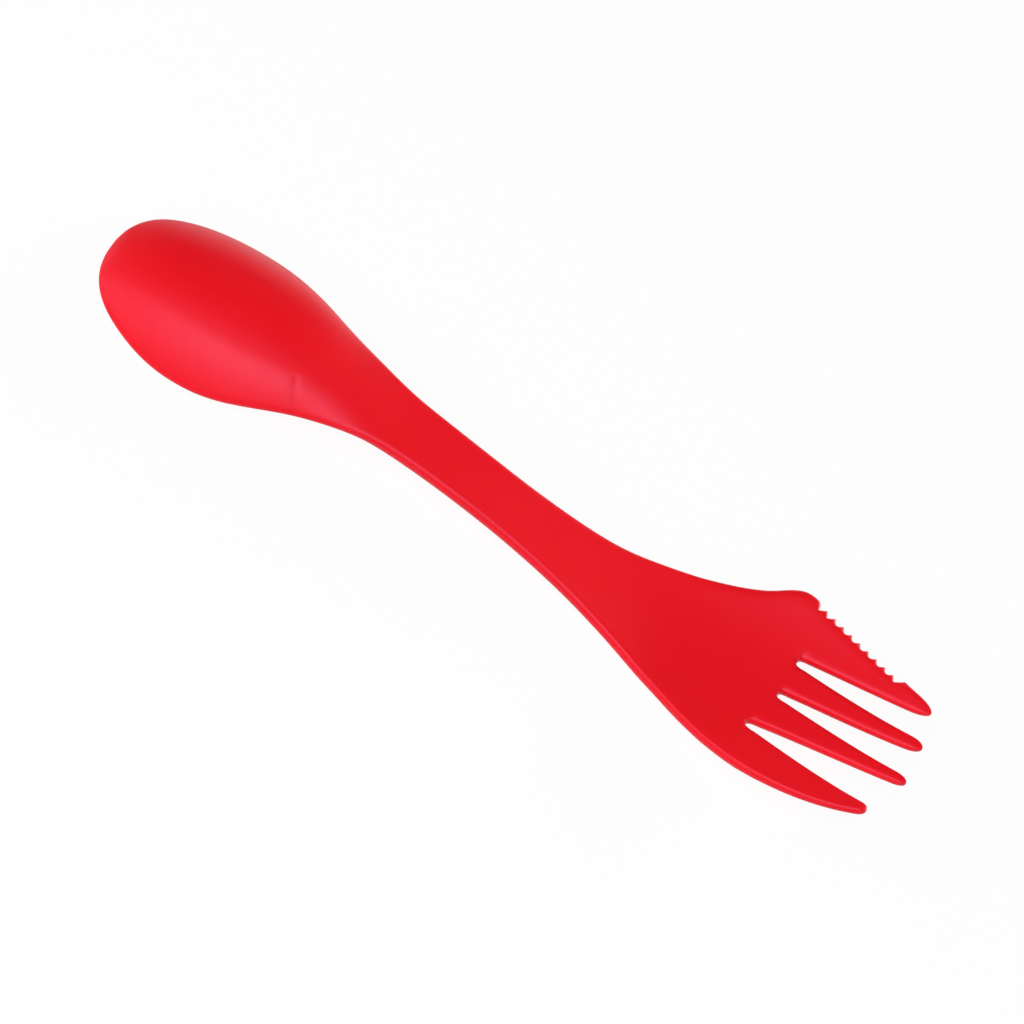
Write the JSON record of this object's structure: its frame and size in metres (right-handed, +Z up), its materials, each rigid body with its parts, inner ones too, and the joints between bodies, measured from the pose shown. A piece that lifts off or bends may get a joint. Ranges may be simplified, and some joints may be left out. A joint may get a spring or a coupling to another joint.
{
  "type": "spork",
  "caption": "Full-length moulded spork: a deep spoon at one end, a slim S-curved handle, and a dished fork at the other with a saw edge on its outer tine.",
  "frame": {"origin": "on the surface that the spork lies on, below the middle of its length and width", "axes": "+X along the length from the spoon's tip to the fork's tips, +Y across it to the saw-edged side, +Z up, with the spoon's hollow down and the fork's hollow up"},
  "size_m": [0.1703, 0.0384, 0.0121],
  "materials": {
    "red_plastic": "dyed red copolyester as it leaves a satin-polished mould: smooth, soft broad highlights, no paint"
  },
  "bodies": {
    "root": {"spork": "red_plastic"}
  },
  "joints": []
}
